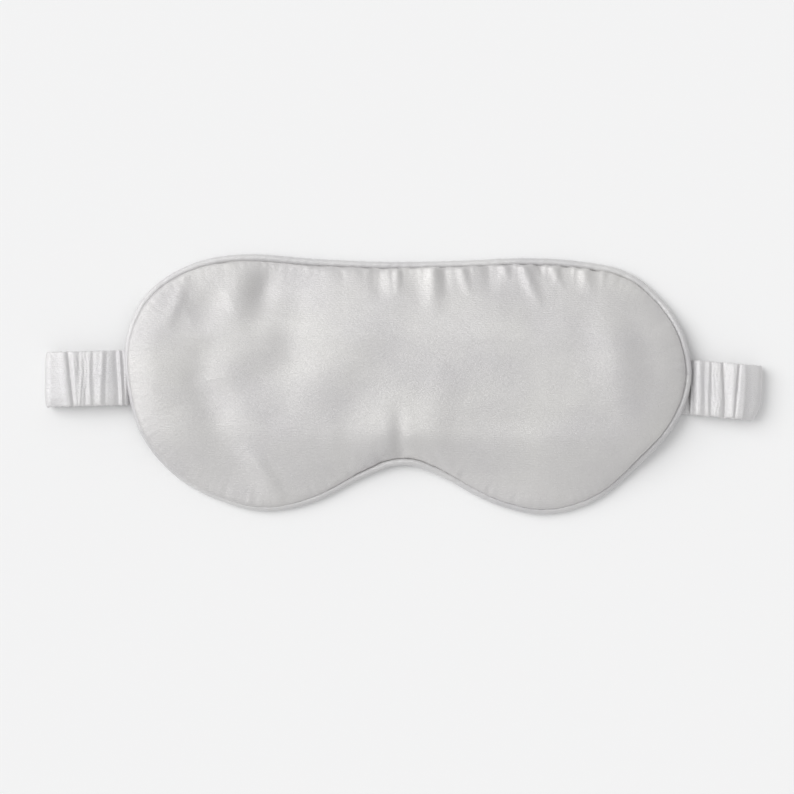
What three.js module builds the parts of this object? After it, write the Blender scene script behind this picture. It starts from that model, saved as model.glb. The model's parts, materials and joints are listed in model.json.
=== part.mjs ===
// A padded sleep eye mask lying on its own strap, with its outer face up. Millimetres, +Z up, +Y
// towards the brow. The origin is on the surface that the mask lies on, under the middle of the
// strap. The pad lies a little to the right of it.
//
// The pad is a sandwich of silk front panel, wadding, blackout lining and silk back panel, with
// corded piping sewn round its edge. The strap is a gathered silk sleeve over a flat elastic. It
// leaves the seam at each side, folds back on itself and runs behind the pad. Every length of strap
// between two hinge lines is a rigid piece, so that the loop can open like a head band.
import * as THREE from "three";

// Driving dimensions.
const PIPING_RADIUS = 1.4;
const CORD_RADIUS = 0.65;
const STRAP_WIDTH = 21;
const STRAP_THICKNESS = 2.4;
const SLEEVE_WALL = 0.45;
const ELASTIC_WIDTH = 18;
const ELASTIC_THICKNESS = 0.9;
const SILK_THICKNESS = 0.4;
const LINING_THICKNESS = 0.4;
const CROWN_HEIGHT = 6; // rise of the front panel above its seam
const BACK_DEPTH = 0.8; // fall of the back panel below its seam
const CLEARANCE = 0.3; // between neighbouring solids
const LAYER_GAP = 0.6; // between the strap's two layers, and between strap and pad

// Hinge lines of the strap, all parallel to Y, as distances from the middle.
const REAR_HINGE_X = 40; // where the rear run starts to rise
const SIDE_HINGE_X = 105; // under the edge of the pad
const FOLD_X = 130.3; // centre of the fold at each end
const PAD_SHIFT_X = 1.5; // the pad's middle, to the right of the strap's
const SEAM_HINGE_X = 105.2; // where the strap leaves the seam, from the pad's middle

// Levels.
const PAD_BASE_Z = STRAP_THICKNESS + LAYER_GAP; // underside of the pad over the strap
const SEAM_Z = PAD_BASE_Z + PIPING_RADIUS;
const SEAM_OPENING = 0.2; // half the space between the two panels at the seam
const FLOOR_CLEARANCE = 0.1; // of the piping where the pad's edge lies down

// The pad drapes over the strap: its edge is up to DRAPE_DROP lower away from the strap.
const DRAPE_DROP = PAD_BASE_Z - FLOOR_CLEARANCE;
const DRAPE_START_Y = 16;
const DRAPE_END_Y = 38;

// Fineness.
const OUTLINE_STEPS = 64;
const FOLD_STEPS = 6;
const LAST_RING_OF_FILLING = 0.92;
const RINGS = [0, 0.35, 0.62, 0.8, LAST_RING_OF_FILLING, 0.97, 1];

// Centre line of the piping, anticlockwise from the wearer's left temple: brow edge, right lobe,
// nose notch and left lobe. Hand sewn, so the two lobes differ a little.
const OUTLINE = [
  [103.5, 6], [100, 22], [92.5, 33], [80, 42], [60, 45.7], [40, 46.2], [20, 45], [-8, 44],
  [-35, 44.6], [-62, 45.6], [-80, 41.5], [-96, 30.5], [-103.4, 14], [-102.8, -2], [-97, -20],
  [-84, -34.5], [-68.5, -42.5], [-53, -46.4], [-35, -43], [-14, -32.3], [-1.5, -28.5],
  [12, -31.8], [32, -41.7], [50.5, -45.9], [66, -41.5], [82, -29.5], [95.5, -16], [101.8, -4],
];

const material = (color, roughness = 0.5) =>
  new THREE.MeshStandardMaterial({ color, roughness, metalness: 0 });
const silk = material(0xc9c7c5, 0.38);
const lining = material(0x3a393c, 0.8);
const filling = material(0xf2efe8, 0.95);
const elastic = material(0xe8e6e2, 0.85);
const thread = material(0xbfbdbc, 0.7);

const part = new THREE.Group();

function add(name, geometry, look) {
  const mesh = new THREE.Mesh(geometry, look);
  mesh.name = name;
  part.add(mesh);
  return mesh;
}

// ---------------------------------------------------------------- the pad

const smoothstep = (low, high, value) => THREE.MathUtils.smoothstep(value, low, high);

// How far the pad hangs below its level over the strap.
const drape = (y) => -DRAPE_DROP * smoothstep(DRAPE_START_Y, DRAPE_END_Y, Math.abs(y));

// Evenly spaced points of the piping's centre line, moved so that their box has its middle at the
// pad's.
function outlinePoints() {
  const curve = new THREE.CatmullRomCurve3(
    OUTLINE.map(([x, y]) => new THREE.Vector3(x, y, 0)),
    true,
    "centripetal",
  );
  const points = curve.getSpacedPoints(OUTLINE_STEPS).slice(0, OUTLINE_STEPS);
  const middle = new THREE.Box3().setFromPoints(points).getCenter(new THREE.Vector3());
  middle.x -= PAD_SHIFT_X;
  return points.map((p) => p.sub(middle));
}

const rim = outlinePoints();

// The outline moved inwards by a distance, square to itself.
function inset(distance) {
  return rim.map((p, i) => {
    const before = rim[(i + OUTLINE_STEPS - 1) % OUTLINE_STEPS];
    const after = rim[(i + 1) % OUTLINE_STEPS];
    const along = after.clone().sub(before).normalize();
    return new THREE.Vector3(p.x - along.y * distance, p.y + along.x * distance, 0);
  });
}

const panelEdge = inset(PIPING_RADIUS + CLEARANCE);

// Height of a cushion's surface, from 1 in the middle to 0 at its edge.
const dome = (ring) => Math.sqrt(1 - ring ** 4);

// Surfaces of the pad's layers above the table, as functions of the ring, before draping.
const frontTop = (ring) => SEAM_Z + SEAM_OPENING + SILK_THICKNESS + CROWN_HEIGHT * dome(ring);
const frontUnder = (ring) => frontTop(ring) - SILK_THICKNESS;
const backUnder = (ring) => SEAM_Z - SEAM_OPENING - SILK_THICKNESS - BACK_DEPTH * dome(ring);
const backTop = (ring) => backUnder(ring) + SILK_THICKNESS;
const liningUnder = (ring) => backTop(ring) + CLEARANCE;
const liningTop = (ring) => liningUnder(ring) + LINING_THICKNESS;
const waddingUnder = (ring) => liningTop(ring) + CLEARANCE;
const waddingTop = (ring) => frontUnder(ring) - CLEARANCE;

// A closed layer between two surfaces. It starts as a lathe of unit radius and is stretched
// sideways to the outline, then draped.
function layer(under, top, rings) {
  const profile = [
    ...rings.map((ring) => new THREE.Vector2(ring, under(ring))),
    ...rings.map((ring) => new THREE.Vector2(ring, top(ring))).reverse(),
  ];
  const geometry = new THREE.LatheGeometry(profile, OUTLINE_STEPS);
  const position = geometry.getAttribute("position");
  for (let i = 0; i < position.count; i++) {
    const step = Math.floor(i / profile.length) % OUTLINE_STEPS;
    const { x: ring, y: height } = profile[i % profile.length];
    const x = PAD_SHIFT_X + (panelEdge[step].x - PAD_SHIFT_X) * ring;
    const y = panelEdge[step].y * ring;
    position.setXYZ(i, x, y, height + drape(y));
  }
  return geometry;
}

const fillingRings = RINGS.filter((ring) => ring <= LAST_RING_OF_FILLING);
add("front_panel", layer(frontUnder, frontTop, RINGS), silk);
add("back_panel", layer(backUnder, backTop, RINGS), silk);
add("wadding", layer(waddingUnder, waddingTop, fillingRings), filling);
add("blackout_lining", layer(liningUnder, liningTop, fillingRings), lining);

// A closed curve through the outline at a level, draped, that stops short of its own start.
function edgeCurve(points, level, endGap) {
  const draped = points.map((p) => new THREE.Vector3(p.x, p.y, level + drape(p.y)));
  const loop = new THREE.CatmullRomCurve3(draped, true, "centripetal");
  const share = 1 - endGap / loop.getLength();
  const open = new THREE.Curve();
  open.getPoint = (t, target) => loop.getPointAt(t * share, target);
  return open;
}

// The piping's cover is a strip of silk wrapped round the cord. It is open on the inside, where its
// two edges go into the seam.
function wrappedSection(outer, inner, halfOpening) {
  const shape = new THREE.Shape();
  shape.absarc(0, 0, outer, halfOpening, 2 * Math.PI - halfOpening, false);
  shape.absarc(0, 0, inner, 2 * Math.PI - halfOpening, halfOpening, true);
  return shape;
}

function sweep(shape, path, steps, curveSegments) {
  return new THREE.ExtrudeGeometry(shape, { steps, extrudePath: path, curveSegments });
}

const roundSection = (radius) => new THREE.Shape().absarc(0, 0, radius, 0, 2 * Math.PI, false);
const PIPING_END_GAP = 0.6;
const OPENING_ANGLE = 0.5;
const pipingPath = edgeCurve(rim, SEAM_Z, PIPING_END_GAP);
const coverShape = wrappedSection(PIPING_RADIUS, CORD_RADIUS + CLEARANCE, OPENING_ANGLE);
// The section's opening is turned to face the pad.
const turned = new THREE.Shape(
  coverShape.getPoints(5).map((p) => p.rotateAround(new THREE.Vector2(), Math.PI / 2)),
);
add("piping_cover", sweep(turned, pipingPath, OUTLINE_STEPS, 1), silk);
add("piping_cord", sweep(roundSection(CORD_RADIUS), pipingPath, OUTLINE_STEPS, 4), filling);

// The row of stitches that holds the two panels and the piping together, between the panels.
const THREAD_RADIUS = 0.2;
const STITCH_INSET = 2.6;
const stitchPath = edgeCurve(inset(STITCH_INSET), SEAM_Z + SEAM_OPENING, PIPING_END_GAP);
add("seam_thread", sweep(roundSection(THREAD_RADIUS), stitchPath, OUTLINE_STEPS, 2), thread);

// ---------------------------------------------------------------- the strap

function band(width, thickness, cornerRadius) {
  const [w, t, r] = [width / 2, thickness / 2, cornerRadius];
  const shape = new THREE.Shape();
  shape.moveTo(-w + r, -t);
  shape.lineTo(w - r, -t);
  shape.absarc(w - r, -t + r, r, -Math.PI / 2, 0, false);
  shape.absarc(w - r, t - r, r, 0, Math.PI / 2, false);
  shape.absarc(-w + r, t - r, r, Math.PI / 2, Math.PI, false);
  shape.absarc(-w + r, -t + r, r, Math.PI, (3 * Math.PI) / 2, false);
  return shape;
}

const SLEEVE_CORNER = 0.8;
const ELASTIC_CORNER = 0.25;
const sleeveShape = band(STRAP_WIDTH, STRAP_THICKNESS, SLEEVE_CORNER);
sleeveShape.holes.push(
  band(STRAP_WIDTH - 2 * SLEEVE_CORNER, STRAP_THICKNESS - 2 * SLEEVE_WALL, ELASTIC_CORNER),
);
const elasticShape = band(ELASTIC_WIDTH, ELASTIC_THICKNESS, ELASTIC_CORNER);

const LOWER_Z = STRAP_THICKNESS / 2;
const UPPER_Z = PAD_BASE_Z + STRAP_THICKNESS / 2;
const FOLD_Z = (LOWER_Z + UPPER_Z) / 2;

// Turns an extrusion along Z into one along X, with its section's x along Y and its y along Z.
const lengthwise = new THREE.Matrix4().makeBasis(
  new THREE.Vector3(0, 1, 0),
  new THREE.Vector3(0, 0, 1),
  new THREE.Vector3(1, 0, 0),
);

// A straight length of strap between two hinge lines, with half a clearance left at each end: a
// silk sleeve and the elastic inside it.
function straightLength(place, x0, x1, z) {
  const start = Math.min(x0, x1) + CLEARANCE / 2;
  const depth = Math.abs(x1 - x0) - CLEARANCE;
  const extrude = (shape) =>
    new THREE.ExtrudeGeometry(shape, { depth, bevelEnabled: false, curveSegments: 3 })
      .applyMatrix4(lengthwise)
      .translate(start, 0, z);
  add(`sleeve_${place}`, extrude(sleeveShape), silk);
  add(`elastic_${place}`, extrude(elasticShape), elastic);
}

// The half turn from the lower layer to the upper one, at the left or right end.
function foldLength(place, side) {
  const radius = UPPER_Z - FOLD_Z;
  const curve = new THREE.Curve();
  curve.getPoint = (t, target = new THREE.Vector3()) => {
    const angle = -Math.PI / 2 + Math.PI * t;
    const out = FOLD_X + CLEARANCE / 2 + radius * Math.cos(angle);
    return target.set(side * out, 0, FOLD_Z + radius * Math.sin(angle));
  };
  add(`sleeve_${place}`, sweep(sleeveShape, curve, FOLD_STEPS, 3), silk);
  add(`elastic_${place}`, sweep(elasticShape, curve, FOLD_STEPS, 3), elastic);
}

// The ends of the strap are pressed flat and sewn in between the panels, with a row of tacking.
const STRAP_END_LENGTH = 3;
const STRAP_END_WIDTH = 16;
const STRAP_END_THICKNESS = 0.9;
const STRAP_END_X = 95.7; // from the pad's middle
const STRAP_END_Z = SEAM_Z + 0.5;
const TACK_LENGTH = 14;
const TACK_SIZE = 0.5;

function sewnEnd(place, x) {
  const end = new THREE.BoxGeometry(STRAP_END_LENGTH, STRAP_END_WIDTH, STRAP_END_THICKNESS);
  add(`strap_end_${place}`, end.translate(x, 0, STRAP_END_Z), elastic);
  const tack = new THREE.BoxGeometry(TACK_SIZE, TACK_LENGTH, TACK_SIZE);
  const tackZ = STRAP_END_Z + (STRAP_END_THICKNESS + TACK_SIZE) / 2 + CLEARANCE;
  add(`strap_tack_${place}`, tack.translate(x, 0, tackZ), thread);
}

straightLength("rear_middle", -REAR_HINGE_X, REAR_HINGE_X, LOWER_Z);
for (const [name, side] of [["left", -1], ["right", 1]]) {
  straightLength(`rear_${name}`, side * REAR_HINGE_X, side * SIDE_HINGE_X, LOWER_Z);
  straightLength(`side_${name}`, side * SIDE_HINGE_X, side * FOLD_X, LOWER_Z);
  foldLength(`fold_${name}`, side);
  straightLength(`tab_${name}`, side * FOLD_X, PAD_SHIFT_X + side * SEAM_HINGE_X, UPPER_Z);
  sewnEnd(name, PAD_SHIFT_X + side * STRAP_END_X);
}

export default part;
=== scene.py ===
"""A padded sleep eye mask lying on its own strap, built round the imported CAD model.

Lengths are in millimetres until make_object() turns them into metres. X runs along the mask, +Y
towards the brow and +Z up. The pad's surfaces are grids of spokes, which run from a line in the
middle of the pad (row 0) out to its seam (the last row). The strap's are tubes of rings along its
folded path.
"""

import json
import math

import bpy
import numpy as np
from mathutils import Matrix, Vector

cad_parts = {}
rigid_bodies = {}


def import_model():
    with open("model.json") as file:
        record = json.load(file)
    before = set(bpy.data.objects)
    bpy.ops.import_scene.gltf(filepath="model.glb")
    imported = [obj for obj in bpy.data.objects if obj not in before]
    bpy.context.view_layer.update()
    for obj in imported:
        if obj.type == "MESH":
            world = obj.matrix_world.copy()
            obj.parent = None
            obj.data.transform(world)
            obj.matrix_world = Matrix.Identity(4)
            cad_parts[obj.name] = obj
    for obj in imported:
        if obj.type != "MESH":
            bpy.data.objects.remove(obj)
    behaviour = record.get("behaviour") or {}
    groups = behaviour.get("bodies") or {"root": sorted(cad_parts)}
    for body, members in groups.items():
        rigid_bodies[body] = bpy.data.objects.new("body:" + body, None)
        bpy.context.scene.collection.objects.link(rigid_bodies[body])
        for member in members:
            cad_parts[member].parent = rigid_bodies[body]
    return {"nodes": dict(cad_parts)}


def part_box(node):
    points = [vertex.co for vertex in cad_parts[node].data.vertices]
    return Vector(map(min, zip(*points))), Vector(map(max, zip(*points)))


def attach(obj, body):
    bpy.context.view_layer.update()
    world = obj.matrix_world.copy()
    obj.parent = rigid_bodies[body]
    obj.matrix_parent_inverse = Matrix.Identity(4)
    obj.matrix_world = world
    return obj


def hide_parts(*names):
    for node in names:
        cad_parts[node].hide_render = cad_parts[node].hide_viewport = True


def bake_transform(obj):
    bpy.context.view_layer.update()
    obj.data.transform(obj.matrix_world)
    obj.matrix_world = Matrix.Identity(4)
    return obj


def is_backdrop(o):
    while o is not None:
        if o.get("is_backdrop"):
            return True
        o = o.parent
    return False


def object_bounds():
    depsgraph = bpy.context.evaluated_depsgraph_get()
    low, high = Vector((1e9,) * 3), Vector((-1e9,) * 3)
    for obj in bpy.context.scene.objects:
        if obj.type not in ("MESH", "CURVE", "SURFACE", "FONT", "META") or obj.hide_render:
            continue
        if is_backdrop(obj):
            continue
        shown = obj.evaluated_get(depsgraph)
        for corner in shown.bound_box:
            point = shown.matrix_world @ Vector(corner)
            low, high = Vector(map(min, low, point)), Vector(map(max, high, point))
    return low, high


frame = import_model()
cad_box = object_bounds()

MM = 0.001
rng = np.random.default_rng(11)


# ---------------------------------------------------------------- mesh helpers


def node_points(name):
    """A CAD node's vertices, in millimetres."""
    vertices = frame["nodes"][name].data.vertices
    flat = np.empty(len(vertices) * 3, np.float32)
    vertices.foreach_get("co", flat)
    return flat.reshape(-1, 3).astype(float) / MM


def smoothstep(low, high, value):
    t = np.clip((value - low) / (high - low), 0, 1)
    return t * t * (3 - 2 * t)


def grid_faces(index):
    """Quads between neighbouring rows and columns of an array of vertex numbers, whose last column
    meets its first. Where two corners are one vertex, a triangle is made."""
    index = np.column_stack([index, index[:, :1]])
    corners = np.stack([index[:-1, :-1], index[:-1, 1:], index[1:, 1:], index[1:, :-1]], axis=-1)
    faces = (tuple(dict.fromkeys(quad)) for quad in corners.reshape(-1, 4).tolist())
    return [face for face in faces if len(face) > 2]


def make_object(name, points, faces, material, weave):
    """A smooth mesh object. weave is where each point lies on the flat cloth, in millimetres."""
    mesh = bpy.data.meshes.new(name)
    mesh.from_pydata((points * MM).tolist(), [], faces)
    mesh.polygons.foreach_set("use_smooth", [True] * len(mesh.polygons))
    attribute = mesh.attributes.new("weave", "FLOAT_VECTOR", "POINT")
    attribute.data.foreach_set("vector", np.asarray(weave, np.float32).ravel())
    mesh.materials.append(material)
    mesh.update()
    obj = bpy.data.objects.new(name, mesh)
    bpy.context.scene.collection.objects.link(obj)
    return obj


def flat_weave(points):
    """The cloth coordinates of a piece that was cut lying flat."""
    return np.column_stack([points[:, :2], np.zeros(len(points))])


def solidify(obj, thickness):
    """Gives a sheet its thickness, inwards from its outer face."""
    modifier = obj.modifiers.new("thickness", "SOLIDIFY")
    modifier.thickness = thickness * MM
    modifier.offset = -1


def waves(position, period, shortest, longest, count):
    """Seeded ripples of unit size along a closed line of length period."""
    total = np.zeros_like(position)
    for turns in rng.integers(period / longest, period / shortest, count):
        total += np.sin(2 * math.pi * (turns * position / period + rng.random()))
    return total / math.sqrt(count)


# ---------------------------------------------------------------- materials


class Nodes:
    """Short spelling for building a material's node tree."""

    def __init__(self, name):
        self.material = bpy.data.materials.new(name)
        self.material.use_nodes = True
        self.tree = self.material.node_tree
        self.shader = self.tree.nodes["Principled BSDF"]

    def add(self, kind, settings=(), **inputs):
        node = self.tree.nodes.new("ShaderNode" + kind)
        for key, value in dict(settings).items():
            setattr(node, key, value)
        for key, value in inputs.items():
            socket = node.inputs[key.replace("_", " ")]
            if isinstance(value, bpy.types.NodeSocket):
                self.tree.links.new(value, socket)
            else:
                socket.default_value = value
        return node

    def weave(self, along, across):
        """Cloth coordinates, scaled by so many per millimetre each way."""
        place = self.add("Attribute", {"attribute_name": "weave"}).outputs["Vector"]
        return self.add("Mapping", Vector=place, Scale=(along, across, 1)).outputs["Vector"]

    def noise(self, along, across, detail=3.0, roughness=0.5):
        vector = self.weave(along, across)
        node = self.add("TexNoise", Vector=vector, Scale=1.0, Detail=detail, Roughness=roughness)
        return node.outputs["Fac"]

    def spread(self, value, low, high):
        """Noise, which keeps near its middle, spread over a range."""
        limits = {"From_Min": 0.3, "From_Max": 0.7, "To_Min": low, "To_Max": high}
        return self.add("MapRange", Value=value, **limits).outputs["Result"]

    def mixed(self, value, first, second):
        ramp = self.add("ValToRGB", Fac=value)
        elements = ramp.color_ramp.elements
        elements[0].position, elements[1].position = 0.32, 0.68
        elements[0].color, elements[1].color = (*first, 1), (*second, 1)
        return ramp.outputs["Color"]

    def bump(self, height, strength, distance, normal=None):
        links = {"Normal": normal} if normal else {}
        node = self.add("Bump", Height=height, Strength=strength, Distance=distance * MM, **links)
        return node.outputs["Normal"]

    def link(self, socket, output):
        self.tree.links.new(output, self.shader.inputs[socket])

    def set(self, **values):
        for key, value in values.items():
            self.shader.inputs[key.replace("_", " ")].default_value = value


def satin(name, light, dark, roughness=0.4, grain=1.0):
    """Silk satin: long floats along the cloth, faint slubs, and a soft wide sheen."""
    nodes = Nodes(name)
    slubs = nodes.noise(0.8, 3.0, 4.0, 0.7)
    streaks = nodes.add("Math", {"operation": "MULTIPLY"})
    nodes.tree.links.new(nodes.spread(slubs, 0.9, 1.1), streaks.inputs[0])
    nodes.tree.links.new(nodes.noise(0.028, 0.036, 2.0), streaks.inputs[1])
    nodes.link("Base Color", nodes.mixed(streaks.outputs["Value"], dark, light))
    nodes.link("Roughness", nodes.spread(slubs, roughness - 0.03, roughness + 0.05))
    floats = nodes.add(
        "TexWave",
        {"wave_type": "BANDS", "bands_direction": "Y"},
        Vector=nodes.weave(1.0, 1.0),
        Scale=0.36,
        Distortion=2.2,
        Detail=2.0,
        Detail_Scale=2.0,
    ).outputs["Fac"]
    crumple = nodes.noise(0.16, 0.2, 2.0, 0.4)
    normal = nodes.bump(crumple, 0.12, 1.0)
    normal = nodes.bump(slubs, 0.8 * grain, 0.3, normal)
    nodes.link("Normal", nodes.bump(floats, 0.12 * grain, 0.1, normal))
    nodes.set(Metallic=0.4, Sheen_Weight=0.2, Sheen_Roughness=0.4, Anisotropic=0.4)
    return nodes.material


def matt_cloth(name, light, dark, pitch, strength, sheen=0.0):
    """A dull woven or felted cloth, with threads at a pitch."""
    nodes = Nodes(name)
    nodes.link("Base Color", nodes.mixed(nodes.noise(0.2, 0.2, 4.0), dark, light))
    threads = nodes.add(
        "TexWave",
        {"wave_type": "BANDS", "bands_direction": "DIAGONAL"},
        Vector=nodes.weave(1.0 / pitch, 1.0 / pitch),
        Scale=1.0,
        Distortion=1.5,
        Detail=2.0,
    ).outputs["Fac"]
    fluff = nodes.noise(1.5, 1.5, 6.0, 0.7)
    nodes.link("Roughness", nodes.spread(fluff, 0.8, 0.97))
    nodes.link("Normal", nodes.bump(threads, strength, 0.3, nodes.bump(fluff, strength, 0.5)))
    nodes.set(Sheen_Weight=sheen)
    return nodes.material


SILK_LIGHT = (0.69, 0.68, 0.668)
SILK_DARK = (0.615, 0.603, 0.607)
front_silk = satin("front_satin", SILK_LIGHT, SILK_DARK)
back_silk = satin("back_satin", SILK_LIGHT, SILK_DARK)
piping_silk = satin("piping_satin", (0.71, 0.704, 0.70), (0.63, 0.622, 0.632), 0.4)
strap_silk = satin("strap_satin", (0.755, 0.747, 0.742), (0.70, 0.69, 0.705), 0.33, 1.2)
cotton = matt_cloth("cotton_wadding", (0.86, 0.84, 0.8), (0.76, 0.74, 0.7), 1.8, 0.5, 0.3)
dark_twill = matt_cloth("blackout_twill", (0.035, 0.034, 0.037), (0.02, 0.019, 0.022), 0.5, 0.4)
cord_cotton = matt_cloth("piping_cord_cotton", (0.82, 0.8, 0.75), (0.7, 0.68, 0.63), 0.6, 0.5)
ribbed_elastic = matt_cloth("ribbed_elastic", (0.8, 0.79, 0.76), (0.7, 0.69, 0.66), 0.7, 0.6)
sewing_thread = matt_cloth("sewing_thread", (0.56, 0.55, 0.55), (0.46, 0.45, 0.45), 0.15, 0.5)


# ---------------------------------------------------------------- the pad's outline

COLUMNS, ROWS = 960, 48  # of the front panel's grid, whose columns all the pad's layers share
HALF = COLUMNS // 2


def rings_of(name, reach):
    """Middles of the rings of a CAD tube: its vertices, gathered where they lie within reach."""
    rings = []
    for point in node_points(name):
        ring = next((r for r in rings if np.hypot(*(r[0] - point)[:2]) < reach), None)
        if ring is None:
            rings.append([point])
        else:
            ring.append(point)
    return np.array([(np.min(ring, 0) + np.max(ring, 0)) / 2 for ring in rings])


def smooth_closed(points, steps):
    """A Catmull-Rom curve through the points of a closed line, with so many steps between two."""
    before, after, second = np.roll(points, 1, 0), np.roll(points, -1, 0), np.roll(points, -2, 0)
    t = np.linspace(0, 1, steps, endpoint=False)[:, None, None]
    curve = (
        2 * points
        + (after - before) * t
        + (2 * before - 5 * points + 4 * after - second) * t**2
        + (3 * points - before - 3 * after + second) * t**3
    )
    return (curve / 2).transpose(1, 0, 2).reshape(-1, 3)


def even(points, count):
    """So many points at equal steps along a line, without its last one."""
    steps = np.hypot(*np.diff(points[:, :2], axis=0).T)
    length = np.concatenate([[0], np.cumsum(steps)])
    at = np.linspace(0, length[-1], count, endpoint=False)
    return np.column_stack([np.interp(at, length, points[:, k]) for k in range(3)])


def pad_outline():
    """The piping's centre line, anticlockwise from its right end, with as many columns above as
    below."""
    corners = rings_of("piping_cord", reach=2.0)
    middle = (corners.min(0) + corners.max(0)) / 2
    angle = np.arctan2(corners[:, 1] - middle[1], corners[:, 0] - middle[0])
    line = smooth_closed(corners[np.argsort(angle)], steps=40)
    line = np.roll(line, -np.argmax(line[:, 0]), 0)
    left = np.argmin(line[:, 0])
    upper = even(line[: left + 1], HALF)
    lower = even(np.vstack([line[left:], line[:1]]), HALF)
    return np.vstack([upper, lower]), middle


rim, pad_middle = pad_outline()
rim_turn = np.degrees(np.arctan2(rim[:, 1], rim[:, 0] - pad_middle[0])) % 360
# Where the soft outline lies a little off the CAD's: angle round the pad, reach, and how far out.
OUTLINE_SHIFTS = [(156, 13, 1.1), (208, 16, 0.9), (301, 13, 0.9), (333, 10, 1.5), (17, 8, -0.7)]
outward = rim[:, :2] - pad_middle[:2]
outward /= np.hypot(*outward.T)[:, None]
for turn, reach, size in OUTLINE_SHIFTS:
    rim[:, :2] += outward * (size * np.exp(-(((rim_turn - turn) / reach) ** 2)))[:, None]
along = np.roll(rim, -1, 0)[:, :2] - np.roll(rim, 1, 0)[:, :2]
along /= np.hypot(*along.T)[:, None]
inward = np.column_stack([-along[:, 1], along[:, 0]])
rim_steps = np.hypot(*(np.roll(rim, -1, 0) - rim)[:, :2].T)
rim_arc = np.concatenate([[0], np.cumsum(rim_steps)[:-1]])
rim_length = rim_steps.sum()

SEAM_HIGH, SEAM_LOW = rim[:, 2].max(), rim[:, 2].min()


def seam_level(y):
    """Height of the seam across the pad, which drapes over the strap."""
    return SEAM_HIGH - (SEAM_HIGH - SEAM_LOW) * smoothstep(16, 38, np.abs(y))


rim[:, 2] = seam_level(rim[:, 1])


# ---------------------------------------------------------------- the front panel

SILK = 0.35  # the cloth's thickness
FRONT_EDGE, BACK_EDGE = -0.2, -0.1  # heights of the panels' edges, from the seam's
ROLL, END_ROLL = 13.0, 10.0  # width of the pad's rounded edge, in the middle and at the ends
ROLL_HEIGHT = 4.7
ROLL_POWER = 2.2  # 2 would make the rounded edge a quarter of an ellipse
CROWN = 1.6  # how much higher the pad is in its middle, and over what distance it rises
CROWN_REACH = 15.0
# How far the cloth bulges out over the piping, and how far inside the seam. Then where it does so
# more: angle round the pad, reach and size.
BULGE, BULGE_AT = 0.9, 2.4
OVERHANGS = [(199, 38, 1.5), (66, 26, 0.6), (325, 26, 0.8)]
# The line in the middle of the pad that the spokes start from.
SPINE_HALF_LENGTH, SPINE_Y = 62.0, 5.0
# The seam draws the cloth into short puckers, which are deeper along the brow, as are the ripples
# of the panel's edge.
brow = smoothstep(-30, -5, rim[:, 0]) * smoothstep(94, 72, rim[:, 0])
brow *= smoothstep(0, 20, rim[:, 1])
puckers = waves(rim_arc, rim_length, 2.6, 7.0, 14)
PUCKER_DEPTH, BROW_PUCKER_DEPTH, PUCKER_LENGTH = 0.10, 0.08, 3.0
# From the piping's centre line to the panel's edge.
EDGE_INSET = 1.5 + (0.02 + 0.19 * brow) * waves(rim_arc, rim_length, 5.0, 14.0, 10)

# Folds pressed into the cloth where the seam gathers it: their course, width and height, with a
# height below zero for a trough. They are strongest where they leave the seam.
GATHERS = [
    ([(-3.0, 44.5), (-3.1, 31)], 1.3, 1.0),
    ([(10.2, 44.8), (10.2, 22)], 3.7, 2.1),
    ([(19.2, 45), (24.7, 31)], 1.7, 1.1),
    ([(35.9, 46.5), (37.9, 37)], 1.4, 1.1),
    ([(41.4, 46.8), (51.8, 26)], 2.0, 1.3),
    ([(52.6, 46.8), (59.1, 34)], 1.4, 1.1),
    ([(64.4, 46.2), (69.5, 32)], 2.4, 1.2),
    ([(-10.4, 44), (-9.4, 28)], 3.0, -1.5),
    ([(13.7, 45), (15, 31)], 2.2, -1.0),
    ([(31.5, 46), (31.3, 31)], 3.0, -1.2),
    ([(48.9, 46), (51.6, 38)], 1.4, -0.8),
    ([(-1.0, -28), (-2.0, -3)], 2.8, -1.2),
]
GATHER_DEPTH = 0.85
# Soft hills and hollows away from the seam, which fade at both ends to a share of their height.
SWELL_ENDS = 0.35
SWELLS = [
    ([(-86, 33), (-94, 12), (-92, -12), (-78, -33)], 9.0, 1.4),
    ([(-73, 16), (-75, 0), (-68, -17), (-56, -33)], 7.0, -1.6),
    ([(-80, 39), (-87, 21)], 1.8, 0.5),
    ([(-80, 24), (-65, 31)], 6.0, -1.3),
    ([(-79, 14), (-65, 25)], 4.0, 0.3),
    ([(-62, 40), (-65, 26)], 4.0, 0.5),
    ([(-51, 41), (-55, 23)], 5.2, -2.4),
    ([(-41, 43), (-46, 24)], 11.0, -1.6),
    ([(-42, 30), (-43, 8), (-62, -3)], 8.0, -1.2),
    ([(-6, 33), (-25, 5), (-52, -14)], 9.0, 0.5),
    ([(-38, 2), (-52, -20)], 7.0, -0.5),
    ([(-12, 2), (-24, -20)], 8.0, -0.5),
    ([(-28, -16), (-25, -25)], 4.0, 0.3),
    ([(-58, -26), (-46, -39.5)], 2.8, 1.1),
    ([(9, -24), (14, 4)], 6.0, 0.5),
    ([(24, -14), (74, -12)], 5.0, -0.4),
    ([(20, 22), (62, 8)], 12.0, 0.5),
    ([(72, 32), (77, 18), (83, -6)], 8.5, 1.5),
    ([(28, 38), (33, 16)], 12.0, 0.6),
    ([(60, 36), (58, 14)], 8.0, 0.6),
]


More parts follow.
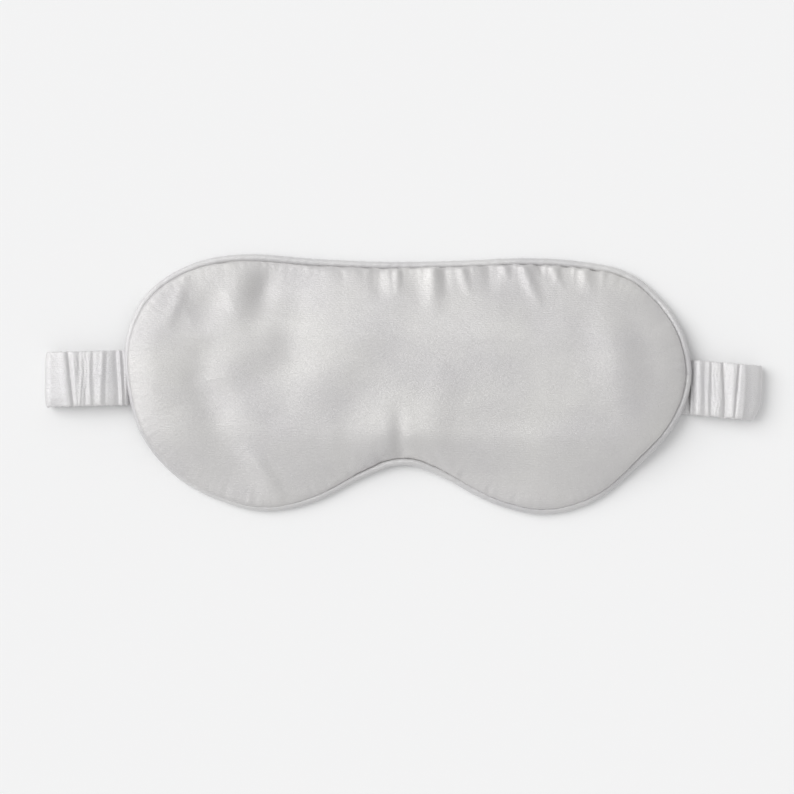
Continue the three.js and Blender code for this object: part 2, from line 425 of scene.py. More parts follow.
def stroke(xy, course, width):
    """How close each point is to a line, from 1 on it to 0, and how far along it."""
    course = np.array(course, float)
    lengths = np.hypot(*np.diff(course, axis=0).T)
    starts = np.concatenate([[0], np.cumsum(lengths)])
    best, progress = np.full(xy.shape[:-1], np.inf), np.zeros(xy.shape[:-1])
    for a, b, start, length in zip(course[:-1], course[1:], starts, lengths):
        t = np.clip(((xy - a) @ (b - a)) / length**2, 0, 1)
        distance = np.hypot(*np.moveaxis(xy - a - t[..., None] * (b - a), -1, 0))
        nearer = distance < best
        best = np.where(nearer, distance, best)
        progress = np.where(nearer, (start + t * length) / starts[-1], progress)
    return np.exp(-((best / width) ** 2)), progress


def folds(xy):
    """Height of the gathers and swells at each point."""
    height = np.zeros(xy.shape[:-1])
    for course, width, size in GATHERS:
        near, progress = stroke(xy, course, width)
        height += GATHER_DEPTH * size * near * (1 - smoothstep(0.2, 1, progress))
    for course, width, size in SWELLS:
        near, progress = stroke(xy, course, width)
        height += size * near * (SWELL_ENDS + (1 - SWELL_ENDS) * np.sin(math.pi * progress))
    return height


def spokes(inset, rows, columns, power=1.35):
    """Plan of a pad layer whose edge is that far inside the piping's centre line. A power above 1
    packs the rows towards the edge."""
    pick = np.arange(0, COLUMNS, COLUMNS // columns)
    edge = rim[pick, :2] + inward[pick] * np.broadcast_to(inset, COLUMNS)[pick, None]
    turn = 2 * math.pi * np.arange(columns) / columns
    spine = np.column_stack(
        [pad_middle[0] + SPINE_HALF_LENGTH * np.cos(turn), np.full(columns, SPINE_Y)]
    )
    out = 1 - (1 - np.linspace(0, 1, rows)) ** power
    return spine + out[:, None, None] * (edge - spine)


def spoke_index(rows, columns):
    """Vertex numbers of a grid of spokes. Facing spokes share their vertex on the spine."""
    index = np.arange(rows * columns).reshape(rows, columns)
    index[0] = np.minimum(np.arange(columns), (columns - np.arange(columns)) % columns)
    return index


def seam_distance(xy, inset):
    """Distance of each point from the layer's edge, and the column it is nearest to."""
    edge = rim[:, :2] + inward * np.broadcast_to(inset, COLUMNS)[:, None]
    distance, column = np.empty(xy.shape[:2]), np.empty(xy.shape[:2], int)
    for row, points in enumerate(xy):
        away = points[:, None, :] - edge[None, :, :]
        nearest = np.argmin((away**2).sum(-1), 1)
        across = away[np.arange(len(points)), nearest]
        distance[row] = np.maximum((across * inward[nearest]).sum(-1), 0)
        column[row] = nearest
    return distance, column


def cushion(distance, x):
    """Rise of the filled pad at a distance from its edge: a rounded edge and a low crown."""
    roll = ROLL + (END_ROLL - ROLL) * smoothstep(60, 92, np.abs(x))
    t = np.clip(1 - distance / roll, 0, 1)
    crown = CROWN * (1 - np.exp(-((distance / CROWN_REACH) ** 2)))
    return ROLL_HEIGHT * np.sqrt(1 - t**ROLL_POWER) + crown


CLOTH_STEPS = 20
CLOTH_ROWS, CLOTH_COLUMNS = 25, 320
CLOTH_CAP = 1.2  # no point's move in the simulation counts for more than this


def simulated(points, index):
    """Where the cloth settles under the pressure of its filling, with its edge held in the seam."""
    used, number = np.unique(index, return_inverse=True)
    faces = grid_faces(number.reshape(index.shape))
    mesh = bpy.data.meshes.new("cloth")
    mesh.from_pydata((points.reshape(-1, 3)[used] * MM).tolist(), [], faces)
    cloth = bpy.data.objects.new("cloth", mesh)
    bpy.context.scene.collection.objects.link(cloth)
    held = cloth.vertex_groups.new(name="held")
    held.add(np.unique(number.reshape(index.shape)[-1]).tolist(), 1.0, "REPLACE")
    modifier = cloth.modifiers.new("cloth", "CLOTH")
    settings = modifier.settings
    settings.quality = 6
    settings.mass = 0.1
    settings.tension_stiffness = settings.compression_stiffness = 8
    settings.shear_stiffness = 3
    settings.bending_stiffness = 0.3
    settings.air_damping = 2
    settings.vertex_group_mass = "held"
    settings.use_pressure = True
    settings.uniform_pressure_force = 4
    settings.shrink_min = -0.02
    settings.effector_weights.gravity = 0
    modifier.collision_settings.use_collision = False
    modifier.point_cache.frame_start = 1
    modifier.point_cache.frame_end = CLOTH_STEPS
    for step in range(1, CLOTH_STEPS + 1):
        bpy.context.scene.frame_set(step)
    shape = cloth.evaluated_get(bpy.context.evaluated_depsgraph_get()).data
    settled = np.array([v.co for v in shape.vertices]) / MM
    bpy.data.objects.remove(cloth)
    bpy.data.meshes.remove(mesh)
    bpy.context.scene.frame_set(1)
    return settled[number.reshape(index.shape)]


def smoothed(field, times):
    """A grid's field after each value is shared with its neighbours, so many times."""
    for _ in range(times):
        field = (np.roll(field, 1, 1) + 2 * field + np.roll(field, -1, 1)) / 4
        field[1:-1] = (field[:-2] + 2 * field[1:-1] + field[2:]) / 4
    return field


def calmed(field, distance):
    """The field with its short ripples kept only by the seam."""
    near = np.exp(-((distance / 7) ** 2))[..., None]
    return near * field + (1 - near) * smoothed(field, 16)


def enlarge(field, rows, columns):
    """A coarse grid's field on a finer grid of the same spokes."""
    coarse_rows, coarse_columns = field.shape[:2]
    across = np.arange(columns) * coarse_columns / columns
    low = np.floor(across).astype(int)
    part = (across - low)[None, :, None]
    wide = field[:, low] * (1 - part) + field[:, (low + 1) % coarse_columns] * part
    down = np.linspace(0, coarse_rows - 1, rows)
    low = np.minimum(np.floor(down).astype(int), coarse_rows - 2)
    part = (down - low)[:, None, None]
    return smoothed(wide[low] * (1 - part) + wide[low + 1] * part, 3)


def plain_front(xy):
    """The front panel before its folds, with each point's distance from the edge and column."""
    distance, column = seam_distance(xy, EDGE_INSET)
    height = seam_level(xy[..., 1]) + FRONT_EDGE + cushion(distance, xy[..., 0])
    bulge = np.full(distance.shape, BULGE)
    for turn, reach, size in OVERHANGS:
        bulge += size * np.exp(-(((rim_turn[column] - turn) / reach) ** 4))
    out = bulge * (distance / BULGE_AT) * np.exp(1 - distance / BULGE_AT)
    moved = xy - inward[column] * out[..., None]
    return np.concatenate([moved, height[..., None]], -1), distance, column


def cloth_shift():
    """How the simulated cloth moves from its plain shape, capped, on the fine grid."""
    xy = spokes(EDGE_INSET, CLOTH_ROWS, CLOTH_COLUMNS)
    start, distance, _ = plain_front(xy)
    shift = simulated(start, spoke_index(CLOTH_ROWS, CLOTH_COLUMNS)) - start
    size = np.linalg.norm(shift, axis=-1, keepdims=True)
    shift *= CLOTH_CAP / (CLOTH_CAP + size)
    return enlarge(calmed(shift, distance), ROWS, COLUMNS)


def front_surface():
    """The front panel's grid of points."""
    xy = spokes(EDGE_INSET, ROWS, COLUMNS)
    points, distance, column = plain_front(xy)
    points += cloth_shift()
    depth = ((PUCKER_DEPTH + BROW_PUCKER_DEPTH * brow) * puckers)[column]
    points[..., 2] += depth * np.exp(-distance / PUCKER_LENGTH) * smoothstep(0, 1.2, distance)
    points[..., 2] += folds(xy) * smoothstep(0, 1.6, distance)
    return points


front_points = front_surface()
front_index = spoke_index(ROWS, COLUMNS)

front = make_object(
    "front_panel_satin",
    front_points.reshape(-1, 3),
    grid_faces(front_index),
    front_silk,
    flat_weave(front_points.reshape(-1, 3)),
)
solidify(front, SILK)
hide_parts("front_panel")
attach(front, "mask")


# ---------------------------------------------------------------- the pad's other layers

BACK_INSET = 1.3
BACK_FALL = 1.1  # how far the back panel lies below its seam
BACK_ROLL = 7.0
# How far inside the piping's centre line the filling stops, and how much further by the strap.
FILLING_INSET, END_CLEARANCE = 3.6, 5.4
# From the outer faces of the back and front panels to the room that the filling has.
BELOW_FILLING, ABOVE_FILLING = 0.7, 1.55


def back_surface():
    """The back panel's points and their grid, with puckers by the seam and faint ripples."""
    rows, columns = 28, 480
    xy = spokes(BACK_INSET, rows, columns)
    distance, column = seam_distance(xy, BACK_INSET)
    fall = BACK_FALL * np.sqrt(1 - np.clip(1 - distance / BACK_ROLL, 0, 1) ** ROLL_POWER)
    pucker = waves(rim_arc, rim_length, 3.5, 10.0, 10)[column]
    wrinkle = 0.10 * pucker * np.exp(-distance / 5.0) * smoothstep(0, 1.5, distance)
    ripple = np.sin(xy[..., 0] / 6.5 + 0.8 * np.sin(xy[..., 1] / 9.0))
    wrinkle += 0.12 * ripple * smoothstep(4, 16, distance)
    height = seam_level(xy[..., 1]) + BACK_EDGE - fall + wrinkle
    return np.concatenate([xy, height[..., None]], -1), spoke_index(rows, columns)


back_points, back_index = back_surface()
back = make_object(
    "back_panel_satin",
    back_points.reshape(-1, 3),
    [face[::-1] for face in grid_faces(back_index)],
    back_silk,
    flat_weave(back_points.reshape(-1, 3)),
)
solidify(back, SILK)
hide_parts("back_panel")
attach(back, "mask")


def filling_layer(name, under, over, material, node, roughness):
    """A closed layer inside the pad, between two shares of the way from the back panel to the
    front one. It stops short of the seam, and shorter still by the strap's sewn ends."""
    rows, columns = 20, 240
    ends = np.exp(-((rim[:, 1] / 11) ** 2)) * (np.abs(rim[:, 0] - pad_middle[0]) > 80)
    xy = spokes(FILLING_INSET + END_CLEARANCE * ends, rows, columns, 1.0)
    distance, _ = seam_distance(xy, EDGE_INSET)
    level = seam_level(xy[..., 1])
    bottom = level + BACK_EDGE - BACK_FALL + BELOW_FILLING
    top = level + FRONT_EDGE + cushion(distance, xy[..., 0]) + folds(xy) - ABOVE_FILLING
    lumps = roughness * np.sin(xy[..., 0] / 3.1 + 2 * np.sin(xy[..., 1] / 4.3))
    lumps *= np.sin(xy[..., 1] / 2.7 + np.sin(xy[..., 0] / 5.1))
    surfaces = []
    for share in (under, over):
        height = bottom + share * (top - bottom) + lumps * (share > 0.5)
        surfaces.append(np.concatenate([xy, height[..., None]], -1).reshape(-1, 3))
    index = spoke_index(rows, columns)
    count = rows * columns
    rim_strip = np.stack([index[-1], index[-1] + count])
    faces = [face[::-1] for face in grid_faces(index)] + grid_faces(index + count)
    faces += [face[::-1] for face in grid_faces(rim_strip)]
    points = np.vstack(surfaces)
    obj = make_object(name, points, faces, material, flat_weave(points))
    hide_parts(node)
    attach(obj, "mask")


filling_layer(
    "wadding_sheet", 0.26, 0.92, cotton, "wadding", roughness=0.15
)
filling_layer(
    "lining_sheet", 0.0, 0.10, dark_twill, "blackout_lining", roughness=0.0
)


def rim_tube(name, section, material, node):
    """A closed tube along the seam. section gives, for each column, points of (outward, up)."""
    rings = [
        np.column_stack([rim[:, :2] - inward * out[:, None], rim[:, 2] + up])
        for out, up in section
    ]
    points = np.stack(rings, 1)
    sides = points.shape[1]
    index = np.arange(COLUMNS * sides).reshape(COLUMNS, sides)
    index = np.vstack([index, index[:1]])
    girth = np.broadcast_to(np.linspace(0, 9, sides), (COLUMNS, sides))
    arc = np.broadcast_to(rim_arc[:, None], (COLUMNS, sides))
    weave = np.stack([arc + girth, girth - arc * 0.15, np.zeros_like(arc)], -1)
    obj = make_object(
        name, points.reshape(-1, 3), grid_faces(index), material, weave.reshape(-1, 3)
    )
    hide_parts(node)
    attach(obj, "mask")


PIPING_RADIUS, CORD_RADIUS = 1.4, 0.52
CORD_LAY = 9.0  # length of one turn of the cord's strands


def piping_section():
    """Round the cord, then in between the panels as a flat tail. The bias strip is pulled a
    little, so it has short slanting creases."""
    creases = waves(rim_arc, rim_length, 3.0, 9.0, 12)
    fine = waves(rim_arc, rim_length, 1.6, 3.0, 10)
    for angle in np.radians(np.linspace(165, -165, 23)):
        lean = int(round(math.degrees(angle) / 60))
        radius = PIPING_RADIUS + 0.035 * np.roll(creases, lean) + 0.018 * np.roll(fine, 2 * lean)
        yield radius * math.cos(angle), radius * math.sin(angle)
    for out, up in [(-3.0, -0.1), (-3.8, -0.05), (-3.8, 0.05), (-3.0, 0.1)]:
        yield np.full(COLUMNS, out), up


def cord_section():
    """Three twisted strands."""
    twist = 2 * math.pi * np.round(rim_length / CORD_LAY) * rim_arc / rim_length
    for angle in np.radians(np.arange(0, 360, 24)):
        radius = CORD_RADIUS + 0.1 * np.abs(np.cos(1.5 * (angle - twist)))
        yield radius * math.cos(angle), radius * math.sin(angle)


rim_tube("piping_cover_satin", piping_section(), piping_silk, "piping_cover")
rim_tube("piping_cord_twisted", cord_section(), cord_cotton, "piping_cord")


def tube(course, radius):
    """Points and faces of a round thread along a line of points, closed at both ends."""
    sides = 8
    tangent = np.gradient(course, axis=0)
    tangent /= np.linalg.norm(tangent, axis=1)[:, None]
    side = np.cross(tangent, (0, 0, 1))
    side /= np.linalg.norm(side, axis=1)[:, None]
    over = np.cross(side, tangent)
    turn = 2 * math.pi * np.arange(sides) / sides
    size = radius * np.concatenate([[0.5], np.ones(len(course) - 2), [0.5]])
    offset = side[:, None] * np.cos(turn)[:, None] + over[:, None] * np.sin(turn)[:, None]
    points = course[:, None] + size[:, None, None] * offset
    index = np.arange(len(course) * sides).reshape(-1, sides)
    faces = grid_faces(index) + [tuple(index[0]), tuple(index[-1][::-1])]
    return points.reshape(-1, 3), faces


def threads(name, courses, radius, node):
    """Lengths of sewing thread in the pad, as one piece."""
    points, faces, start = [], [], 0
    for course in courses:
        some, around = tube(course, radius)
        points.append(some)
        faces += [tuple(start + i for i in face) for face in around]
        start += len(some)
    points = np.vstack(points)
    obj = make_object(name, points, faces, sewing_thread, points)
    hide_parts(node)
    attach(obj, "mask")


STITCH = 2.4  # length of a stitch
STITCH_INSET = 2.6


def seam_stitches():
    """Short stitches along the seam, which rise at their middles and dive at their ends."""
    line = np.column_stack([rim[:, :2] + inward * STITCH_INSET, rim[:, 2] + 0.2])
    line = np.vstack([line, line[:1]])
    steps = np.linalg.norm(np.diff(line, axis=0)[:, :2], axis=1)
    arc = np.concatenate([[0], np.cumsum(steps)])
    count = int(arc[-1] / STITCH)
    for number in range(count):
        at = (number + np.array([0.08, 0.2, 0.5, 0.8, 0.92])) * arc[-1] / count
        course = np.column_stack([np.interp(at, arc, line[:, k]) for k in range(3)])
        course[:, 2] += [-0.1, 0.0, 0.06, 0.0, -0.1]
        yield course


threads("seam_stitches", seam_stitches(), radius=0.18, node="seam_thread")


# ---------------------------------------------------------------- the strap

SIDES = 60  # points round each ring
RING_STEP = 0.35
HALF_WIDTH = 10.4
STRAP_Y = 0.8  # the strap is sewn on a little above the middle
# The fold's centre line, between the strap's lower and upper layers.
FOLD_X, FOLD_Z, FOLD_RADIUS = 130.45, 2.7, 1.5
# Distances along the strap, from its middle, where its lower layer ends and its upper one starts.
LOWER_END = FOLD_X
UPPER_START = FOLD_X + math.pi * FOLD_RADIUS
# The strap thins and drops as it goes into the seam: over what length, and by how much.
SEAM_TAPER, SEAM_DROP = 2.7, 1.35
HALF_THICKNESS = 1.2
ELASTIC_HALF_WIDTH, ELASTIC_HALF = 9.0, 0.42
# How far the creases may sink, clear of the elastic, and rise.
DEEPEST, HIGHEST = HALF_THICKNESS - ELASTIC_HALF - 0.12, 1.35

# Creases across the visible ends of the strap: distance from the strap's middle, slant (change of
# that distance per millimetre towards the brow), width, height, and the middle and half length of
# the part of the strap's width that it crosses.
LEFT_CREASES = [
    (122.0, 0.0, 7.5, 1.1, 0, 30),
    (125.4, 0.12, 1.4, 0.3, 0, 30),
    (123.2, 0.13, 0.65, -0.6, 0, 30),
    (121.7, 0.05, 0.7, 0.18, 4, 9),
    (120.3, 0.0, 0.6, -0.22, 6, 7),
    (119.2, -0.04, 0.5, 0.18, -5, 5),
    (118.3, 0.05, 0.5, -0.2, 3, 5),
    (117.3, -0.06, 0.5, -0.15, -6, 5),
    (116.2, 0.02, 0.6, 0.22, 0, 30),
    (114.8, 0.02, 0.8, -0.2, 1, 16),
    (111.9, -0.01, 0.8, 0.3, 0, 30),
    (112.6, -0.01, 4.5, 0.6, 0, 30),
    (110.2, -0.01, 0.5, -0.15, 0, 30),
    (105.9, 0.04, 1.3, -0.6, 0, 30),
    (104.9, 0.07, 0.6, 0.75, 0, 30),
    (103.8, 0.07, 0.4, -0.4, 0, 30),
    (127.0, 0.0, 4.0, -0.4, -10.5, 3.5),
]
RIGHT_CREASES = [
    (124.2, 0.0, 4.5, 1.3, 0, 30),
    (106.6, 0.0, 4.2, 0.75, 0, 30),
    (107.9, -0.02, 0.45, 0.08, 0, 30),
    (108.8, -0.02, 0.4, -0.1, -1, 14),
    (109.8, 0.0, 0.5, 0.1, 0, 14),
    (111.2, 0.01, 0.5, -0.16, 0, 30),
    (112.7, 0.0, 0.5, 0.2, 0, 30),
    (113.8, 0.0, 0.4, -0.2, 0, 30),
    (116.6, 0.0, 1.8, 0.45, 0, 30),
    (118.5, -0.02, 0.6, -0.75, 0, 30),
    (119.9, 0.06, 0.5, 0.2, 5, 6),
    (121.8, 0.0, 1.3, 0.5, 0, 30),
    (123.2, 0.08, 0.45, -0.75, 0, 30),
    (125.2, 0.02, 1.2, 0.4, -2, 13),
    (129.6, 0.0, 0.6, 0.05, 0, 30),
]


def random_creases(start, end, seeded):
    """Gathers of ruched silk over elastic, about every 3 mm."""
    creases, at = [], start
    while at < end:
        slant, place = seeded.normal(0, 0.04), seeded.uniform(-6, 6)
        reach = seeded.choice([9.0, 14.0, 40.0])
        creases.append((at, slant, seeded.uniform(0.6, 1.1), -seeded.uniform(0.5, 1), place, reach))
        at += seeded.uniform(2.0, 4.2)
    return creases


def crease_height(arc, y, creases):
    """Height of a list of creases, whose courses bend a little, at each point."""
    height = np.zeros(np.broadcast(arc, y).shape)
    for at, slant, width, size, place, reach in creases:
        bend = 0.25 * math.sin(at * 1.7)
        centre = at + slant * y + bend * np.sin(y / 4.0 + at)
        edge = np.exp(-(((y - place) / reach) ** 4))
        height += size * np.exp(-(((arc - centre) / width) ** 2)) * edge
    return height


class Strap:
    """One half of the strap: its course from the middle to the seam, and its cross-sections.
    crumpled is where its cloth has fine wrinkles, tilt how its visible end turns, in degrees, and
    askew how far its fold slants in below."""

    def __init__(self, side, seam_x, creases, crumpled, tilt, askew):
        self.side, self.tilt, self.askew = side, tilt, askew
        self.seam_x = seam_x
        self.end = UPPER_START + FOLD_X - seam_x
        self.arc = np.arange(0, self.end + RING_STEP / 2, RING_STEP)
        self.arc[-1] = self.end
        turn = np.clip((self.arc - LOWER_END) / FOLD_RADIUS, 0, math.pi)
        self.out = np.where(self.arc < LOWER_END, self.arc, FOLD_X - (self.arc - UPPER_START))
        folded = (self.arc >= LOWER_END) & (self.arc <= UPPER_START)
        self.out = np.where(folded, FOLD_X + FOLD_RADIUS * np.sin(turn), self.out)
        self.level = FOLD_Z - FOLD_RADIUS * np.cos(turn)
        self.normal = np.column_stack([np.sin(turn), -np.cos(turn)])
        self.creases = [(UPPER_START + FOLD_X - at, -slant, *rest) for at, slant, *rest in creases]
        self.crumpled = UPPER_START + FOLD_X - crumpled
        # Seeded creases of the outer face under the mask, of the inner face and of the edges.
        seeded = np.random.default_rng(40 + side)
        self.hidden = random_creases(0, LOWER_END - 3, seeded)
        self.inner = random_creases(0, self.end, seeded)
        self.scallops = random_creases(0, self.end, seeded)

    def taper(self):
        """1 along the strap, falling to 0 where it goes into the seam."""
        return smoothstep(0, 1, (self.end - self.arc) / SEAM_TAPER)

    def points(self, half_width, half_thickness, power, ruched):
        """Rings of a rounded cross-section along the course. y runs across the strap, n out from
        its middle."""
        angle = 2 * math.pi * np.arange(SIDES) / SIDES + math.pi / SIDES
        across, through = np.cos(angle), np.sin(angle)
        y = half_width * np.sign(across) * np.abs(across) ** power[0]
        n = half_thickness * np.sign(through) * np.abs(through) ** power[1]
        y, n = (np.tile(values, (len(self.arc), 1)) for values in (y, n))
        taper = self.taper()[:, None]
        n *= 0.3 + 0.7 * taper
        if ruched:
            self.crease(y, n, half_thickness, across, taper)
        level = self.level - (1 - taper[:, 0]) * SEAM_DROP
        x = self.out[:, None] + n * self.normal[:, :1]
        z = level[:, None] + n * self.normal[:, 1:]
        lower = np.clip(-y / HALF_WIDTH, 0, 1) ** 2
        x = x - self.askew * lower * smoothstep(FOLD_X - 7, FOLD_X + 1.5, x)
        tilted = smoothstep(self.seam_x - 14, self.seam_x + 2, x)
        y = y - np.maximum(x - self.seam_x, -6) * math.tan(math.radians(self.tilt)) * tilted
        return np.stack([self.side * x, y + STRAP_Y, z], -1)

    def crease(self, y, n, half_thickness, across, taper):
        """Adds the creases to both faces, then draws in the edges and puckers the sewn one."""
        arc = self.arc[:, None]
        outer = smoothstep(0, 0.6, n / half_thickness)
        inner = smoothstep(0, 0.6, -n / half_thickness)
        shown = smoothstep(LOWER_END, LOWER_END + 3, arc)
        visible = crease_height(arc, y, self.creases)
        weft = 0.09 * np.sin(arc * 5.1 + 1.5 * np.sin(y * 0.9)) * np.sin(y * 0.45 + arc * 0.6)
        weft = weft * np.exp(-(((arc - self.crumpled) / 3.2) ** 4))
        covered = np.clip(crease_height(arc, y, self.hidden), -1, 0)
        n += outer * shown * np.clip(visible + weft, -DEEPEST, HIGHEST) * (0.35 + 0.65 * taper)
        n += outer * (1 - shown) * covered * DEEPEST
        n -= inner * np.clip(crease_height(arc, y, self.inner), -1, 0) * DEEPEST * taper
        edge = smoothstep(0.93, 1.0, np.abs(across))[None, :]
        pulled = np.clip(crease_height(arc, np.zeros_like(y), self.scallops), -1, 0)
        stitched = 0.16 * np.sin(arc * 3.6 + np.sin(arc * 1.3)) * (y < 0)
        y += np.sign(y) * edge * (0.55 * pulled + stitched)

    def ring(self, arc):
        """The number of the ring nearest to a distance along the strap."""
        return int(np.argmin(np.abs(self.arc - arc)))

    def piece(self, name, points, start, end, material, slot, closed=False):
        """The length between two distances along the strap, with the whole strap's shading."""
        rows = slice(self.ring(start), self.ring(end) + 1)
        part = points[rows]
        index = np.arange(part.shape[0] * SIDES).reshape(-1, SIDES)
        faces = grid_faces(index)
        if closed:
            faces.append(tuple(index[-1][::-1]))
        if self.side > 0:
            faces = [face[::-1] for face in faces]
        girth = np.concatenate([[0], np.cumsum(np.linalg.norm(np.diff(points[0], axis=0), axis=1))])
        weave = np.stack(
            [
                np.broadcast_to(self.arc[rows, None], index.shape),
                np.broadcast_to(girth, index.shape),
                np.zeros(index.shape),
            ],
            -1,
        )
        obj = make_object(name, part.reshape(-1, 3), faces, material, weave.reshape(-1, 3))
        normals = self.normals(points)[rows].reshape(-1, 3)
        obj.data.normals_split_custom_set_from_vertices(normals.tolist())
        return obj

    def normals(self, points):
        """Normals of the whole length, so that its pieces meet without a crease in the shading."""
        lengthwise = np.gradient(points, axis=0)
        around = np.roll(points, -1, 1) - np.roll(points, 1, 1)
        normal = np.cross(around, lengthwise) * self.side * -1
        return normal / np.maximum(np.linalg.norm(normal, axis=-1), 1e-9)[..., None]


# Where the strap's lengths meet, as distances along it.
REAR_END, SIDE_START, SIDE_END = 20.0, 72.0, 118.0
TAB_START = UPPER_START + FOLD_X - SIDE_END
straps = {
    "left": Strap(-1, 100.6, LEFT_CREASES, crumpled=118.6, tilt=2.4, askew=0.2),
    "right": Strap(1, 106.4, RIGHT_CREASES, crumpled=116.0, tilt=4.0, askew=3.0),
}


def metres(x, y, z):
    """A place given in millimetres, in metres."""
    return (x * MM, y * MM, z * MM)


def build_strap(kind, name, half_width, half_thickness, power, material, slot, ruched):
    """Four lengths on each side, and the one in the middle."""
    middles = []
    for place, strap in straps.items():
        points = strap.points(half_width, half_thickness, power, ruched)
        middles.append(strap.piece("middle", points, 0, REAR_END, material, slot))
        rear = strap.piece(f"{name}_rear_{place}", points, REAR_END, SIDE_START, material, slot)
        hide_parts(f"{kind}_rear_{place}")
        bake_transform(rear)
        under = strap.piece(f"{name}_side_{place}", points, SIDE_START, SIDE_END, material, slot)
        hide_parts(f"{kind}_side_{place}")
        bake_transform(under)
        fold = strap.piece(f"{name}_fold_{place}", points, SIDE_END, TAB_START, material, slot)
        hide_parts(f"{kind}_fold_{place}")
        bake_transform(fold)
        tab = strap.piece(
            f"{name}_tab_{place}", points, TAB_START, strap.end, material, slot, closed=True
        )
        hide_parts(f"{kind}_tab_{place}")
        if place == "left":
            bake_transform(tab)
        else:
            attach(tab, "strap_tab_right")
    join(middles, f"{name}_rear_middle")
    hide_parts(f"{kind}_rear_middle")
    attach(middles[0], "strap_rear_middle")


def join(objects, name):
    """Joins mesh objects into the first of them."""
    for obj in bpy.context.view_layer.objects:
        obj.select_set(obj in objects)
    bpy.context.view_layer.objects.active = objects[0]
    bpy.ops.object.join()
    objects[0].name = objects[0].data.name = name


build_strap(
    "sleeve", "sleeve_ruched", HALF_WIDTH, HALF_THICKNESS, (0.42, 0.7), strap_silk, "strap_silk",
    True,
)
build_strap(
    "elastic", "elastic_ribbed", ELASTIC_HALF_WIDTH, ELASTIC_HALF, (0.3, 0.6), ribbed_elastic,
    "elastic", False,
)


# ---------------------------------------------------------------- the strap's sewn ends


def node_box(name):
    """Middle and half size of a CAD node's box, in millimetres."""
    low, high = (np.array(corner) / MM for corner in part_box(name))
    return (low + high) / 2, (high - low) / 2


def pressed_end(place):
    """The strap's end, pressed flat between the panels."""
    middle, half = node_box(f"strap_end_{place}")
    rows, sides = 26, 28
    y = np.linspace(-half[1], half[1], rows)
    angle = 2 * math.pi * np.arange(sides) / sides
    points = np.empty((rows, sides, 3))
    squeeze = np.where(np.isin(np.arange(rows), (0, rows - 1)), 0.7, 1.0)
    across = np.sign(np.cos(angle)) * np.abs(np.cos(angle)) ** 0.5
    through = np.sign(np.sin(angle)) * np.abs(np.sin(angle)) ** 0.7
    ribs = 0.92 + 0.08 * np.cos(y * 2.4)
    points[..., 0] = middle[0] + half[0] * across * squeeze[:, None]
    points[..., 1] = y[:, None]
    points[..., 2] = middle[2] + half[2] * through * (squeeze * ribs)[:, None]
    index = np.arange(rows * sides).reshape(rows, sides)
    faces = grid_faces(index) + [tuple(index[0]), tuple(index[-1][::-1])]
    flat = points.reshape(-1, 3)
    obj = make_object(f"strap_end_pressed_{place}", flat, faces, ribbed_elastic, flat)
    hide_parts(f"strap_end_{place}")
    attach(obj, "mask")


def tacking(place):
    """The zigzag of thread that holds the strap's end."""
    middle, half = node_box(f"strap_tack_{place}")
    y = np.linspace(middle[1] - half[1] + 0.2, middle[1] + half[1] - 0.2, 57)
    zigzag = np.column_stack(
        [middle[0] + 0.7 * np.sin(y * 2.6), y, middle[2] + 0.05 * np.cos(y * 5.2)]
    )
    threads(f"strap_tack_zigzag_{place}", [zigzag], radius=0.17, node=f"strap_tack_{place}")


for end in straps:
    pressed_end(end)
    tacking(end)


# ---------------------------------------------------------------- stage, light and camera


def plain_material(name, color, roughness):
    """A material of one colour."""
    nodes = Nodes(name)
    nodes.set(Base_Color=(*color, 1), Roughness=roughness)
    return nodes.material


FLOOR_HALF, FLOOR_Z = 4000, -0.05


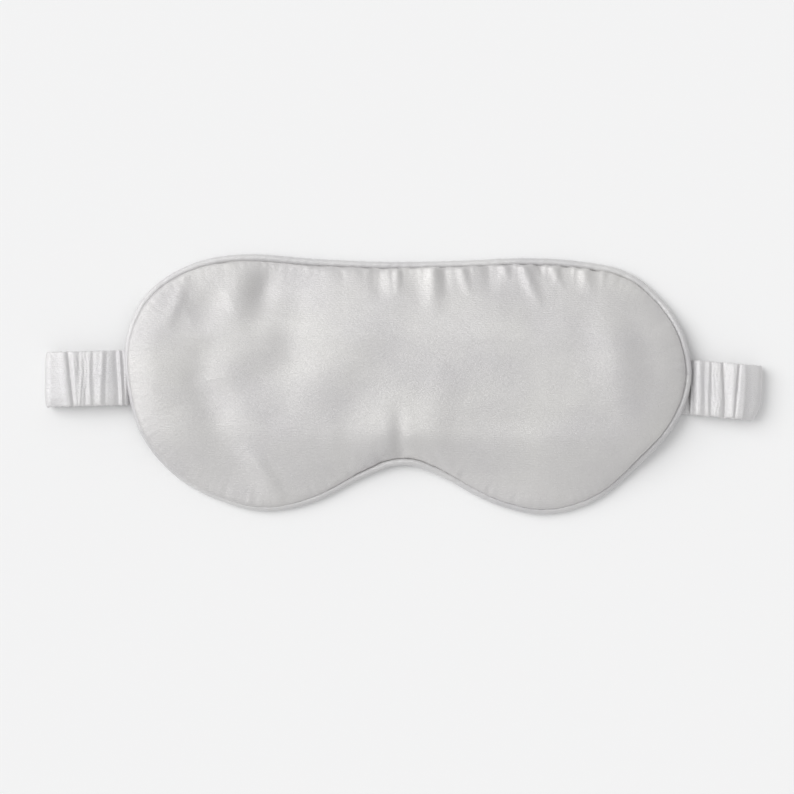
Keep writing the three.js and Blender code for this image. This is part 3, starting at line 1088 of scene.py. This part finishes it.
def floor():
    """Plain pale paper under the mask."""
    mesh = bpy.data.meshes.new("floor")
    corners = [(-FLOOR_HALF, -FLOOR_HALF), (FLOOR_HALF, -FLOOR_HALF)]
    corners += [(x, -y) for x, y in reversed(corners)]
    mesh.from_pydata([metres(x, y, FLOOR_Z) for x, y in corners], [], [(0, 1, 2, 3)])
    mesh.materials.append(plain_material("floor_paper", (0.9, 0.901, 0.903), 0.9))
    obj = bpy.data.objects.new("floor", mesh)
    bpy.context.scene.collection.objects.link(obj)
    obj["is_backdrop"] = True


def key_light(azimuth, elevation, spread, strength):
    """A wide soft light a long way off. Azimuth is from +X towards +Y, all angles in degrees."""
    light = bpy.data.lights.new("key", "SUN")
    light.angle, light.energy = math.radians(spread), strength
    obj = bpy.data.objects.new("key", light)
    bpy.context.scene.collection.objects.link(obj)
    obj.rotation_euler = (math.radians(90 - elevation), 0, math.radians(azimuth + 90))


def world(left, right):
    """White studio walls, brighter on the left."""
    sky = bpy.data.worlds.new("studio")
    sky.use_nodes = True
    tree = sky.node_tree
    place = tree.nodes.new("ShaderNodeTexCoord")
    split = tree.nodes.new("ShaderNodeSeparateXYZ")
    fade = tree.nodes.new("ShaderNodeMapRange")
    fade.interpolation_type = "SMOOTHSTEP"
    fade.inputs["From Min"].default_value, fade.inputs["From Max"].default_value = -1, 1
    fade.inputs["To Min"].default_value, fade.inputs["To Max"].default_value = left, right
    tree.links.new(place.outputs["Generated"], split.inputs[0])
    tree.links.new(split.outputs["X"], fade.inputs["Value"])
    tree.links.new(fade.outputs["Result"], tree.nodes["Background"].inputs["Strength"])
    tree.nodes["Background"].inputs["Color"].default_value = (1, 1, 1, 1)
    bpy.context.scene.world = sky


def camera():
    """Straight above the mask and turned by one degree, as in the photo."""
    data = bpy.data.cameras.new("camera")
    data.lens, data.sensor_width = 100, 36
    data.clip_start, data.clip_end = 0.01, 20
    obj = bpy.data.objects.new("camera", data)
    bpy.context.scene.collection.objects.link(obj)
    obj.location = metres(-2.49, -4.70, 821.4)
    obj.rotation_euler = (0, 0, math.radians(1))
    bpy.context.scene.camera = obj


floor()
key_light(azimuth=157, elevation=39, spread=48, strength=1.65)
world(left=0.73, right=0.6)
camera()
bpy.context.scene.view_settings.view_transform = "Standard"

model_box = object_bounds()
boxes = {"cad": cad_box, "model": model_box}
{name: [list(corner) for corner in box] for name, box in boxes.items()}
